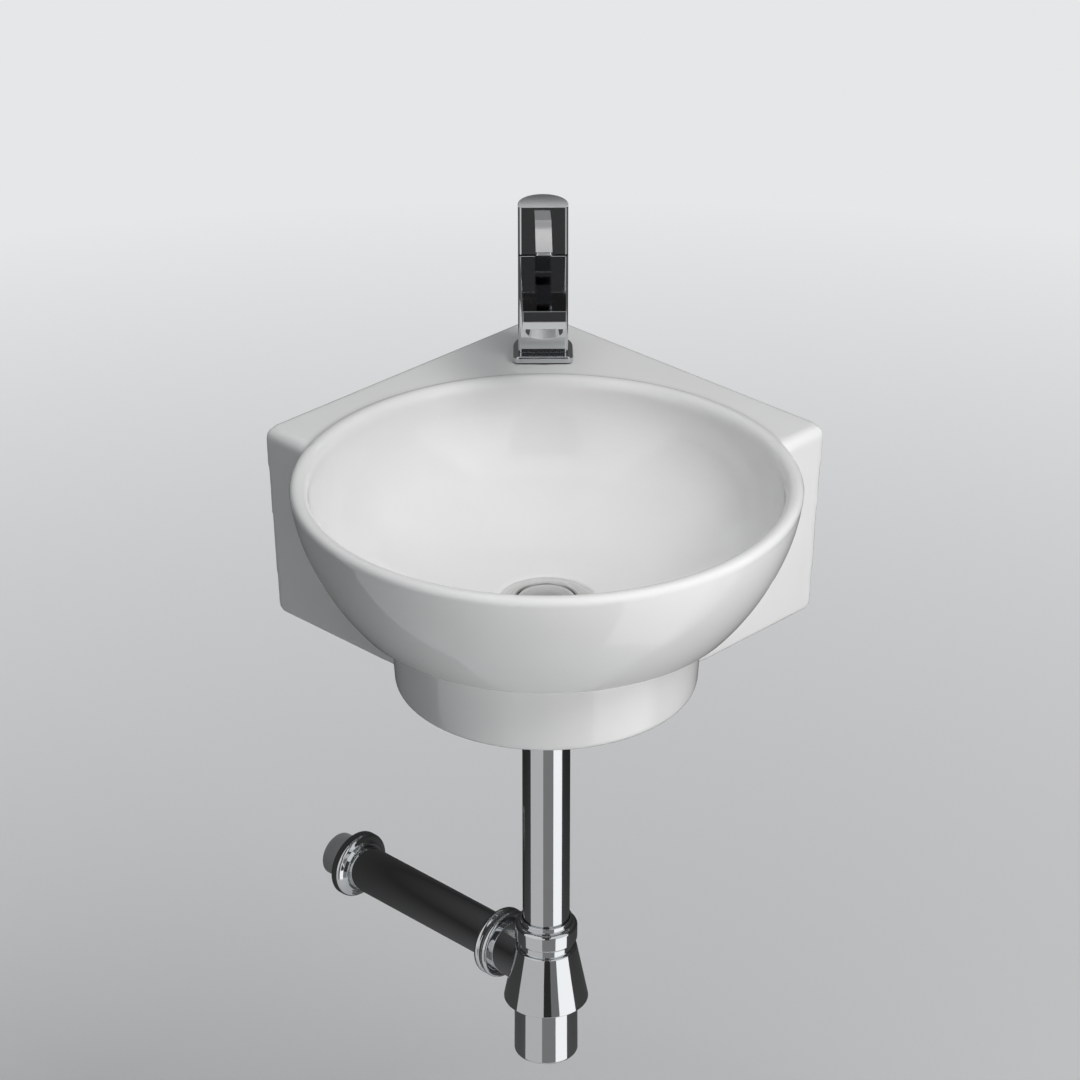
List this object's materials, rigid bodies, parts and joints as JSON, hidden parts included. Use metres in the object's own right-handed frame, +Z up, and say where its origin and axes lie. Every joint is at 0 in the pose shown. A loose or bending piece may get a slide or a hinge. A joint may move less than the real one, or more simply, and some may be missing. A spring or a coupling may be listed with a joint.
{
  "type": "corner wall-hung washbasin",
  "caption": "White glazed ceramic washbasin for a room corner, with round bowl, shelf and plinth ring, chrome single-lever mixer, click waste, downpipe and bottle trap with wall outlet.",
  "frame": {"origin": "the room corner's upright line at the height of the basin's shelf", "axes": "+Z up, the bowl faces -Y, +X to the right of someone who faces the basin; the walls run from the origin along (-1,-1,0) and (1,-1,0)"},
  "size_m": [0.3666, 0.433, 0.545],
  "materials": {
    "ceramic_glaze": "white vitreous glaze",
    "chrome": "polished chrome plate on brass",
    "brushed_flange": "satin chrome plate",
    "brass": "turned brass",
    "zinc_steel": "bright zinc plate",
    "dark_steel": "black oxide",
    "rubber": "black EPDM",
    "white_plastic": "moulded white plastic",
    "cartridge_plastic": "moulded grey plastic"
  },
  "bodies": {
    "fixture": {"basin": "ceramic_glaze", "wall_studs": "zinc_steel", "stud_sleeves": "white_plastic", "stud_washers": "zinc_steel", "stud_nuts": "zinc_steel", "tap_base_seal": "rubber", "tap_base_plate": "chrome", "tap_body": "chrome", "tap_cartridge": "cartridge_plastic", "cartridge_nut": "brass", "aerator_ring": "chrome", "aerator_insert": "white_plastic", "aerator_seal": "rubber", "tap_stud": "brass", "tap_rubber_shoe": "rubber", "tap_metal_shoe": "zinc_steel", "tap_stud_nut": "brass", "waste_body": "brushed_flange", "waste_top_seal": "rubber", "waste_cone_seal": "rubber", "waste_slip_ring": "white_plastic", "waste_backnut": "brass", "click_guide": "white_plastic", "coupling_nut": "chrome", "coupling_washer": "rubber", "downpipe": "chrome", "trap_top_nut": "chrome", "trap_top_seal": "rubber", "trap_body": "chrome", "dip_tube": "white_plastic", "outlet_nut": "chrome", "outlet_seal": "rubber", "outlet_pipe": "chrome"},
    "lever_turn": {"stem_carrier": "white_plastic", "carrier_pin": "zinc_steel"},
    "lever": {"lever_cap": "chrome", "lever_stem": "zinc_steel", "lever_screw": "dark_steel"},
    "plug": {"waste_plug": "brushed_flange", "plug_seal": "rubber"},
    "cup": {"trap_cup": "chrome", "cup_seal": "rubber"},
    "flange": {"wall_flange": "chrome"}
  },
  "joints": [
    {"name": "lever_turn", "type": "hinge", "parent": "fixture", "child": "lever_turn", "pos_m": [0, -0.06599, 0.0845], "axis": [0, 0, 1], "range_deg": [-45, 45]},
    {"name": "lever_lift", "type": "hinge", "parent": "lever_turn", "child": "lever", "pos_m": [0, -0.06599, 0.0845], "axis": [-1, 0, 0], "range_deg": [0, 20]},
    {"name": "plug_rise", "type": "slide", "parent": "fixture", "child": "plug", "axis": [0, 0, 1], "range_m": [0, 0.008]},
    {"name": "cup_release", "type": "slide", "parent": "fixture", "child": "cup", "axis": [0, 0, -1], "range_m": [0, 0.055]},
    {"name": "flange_slide", "type": "slide", "parent": "fixture", "child": "flange", "axis": [0.7071, -0.7071, 0], "range_m": [0, 0.125]}
  ]
}
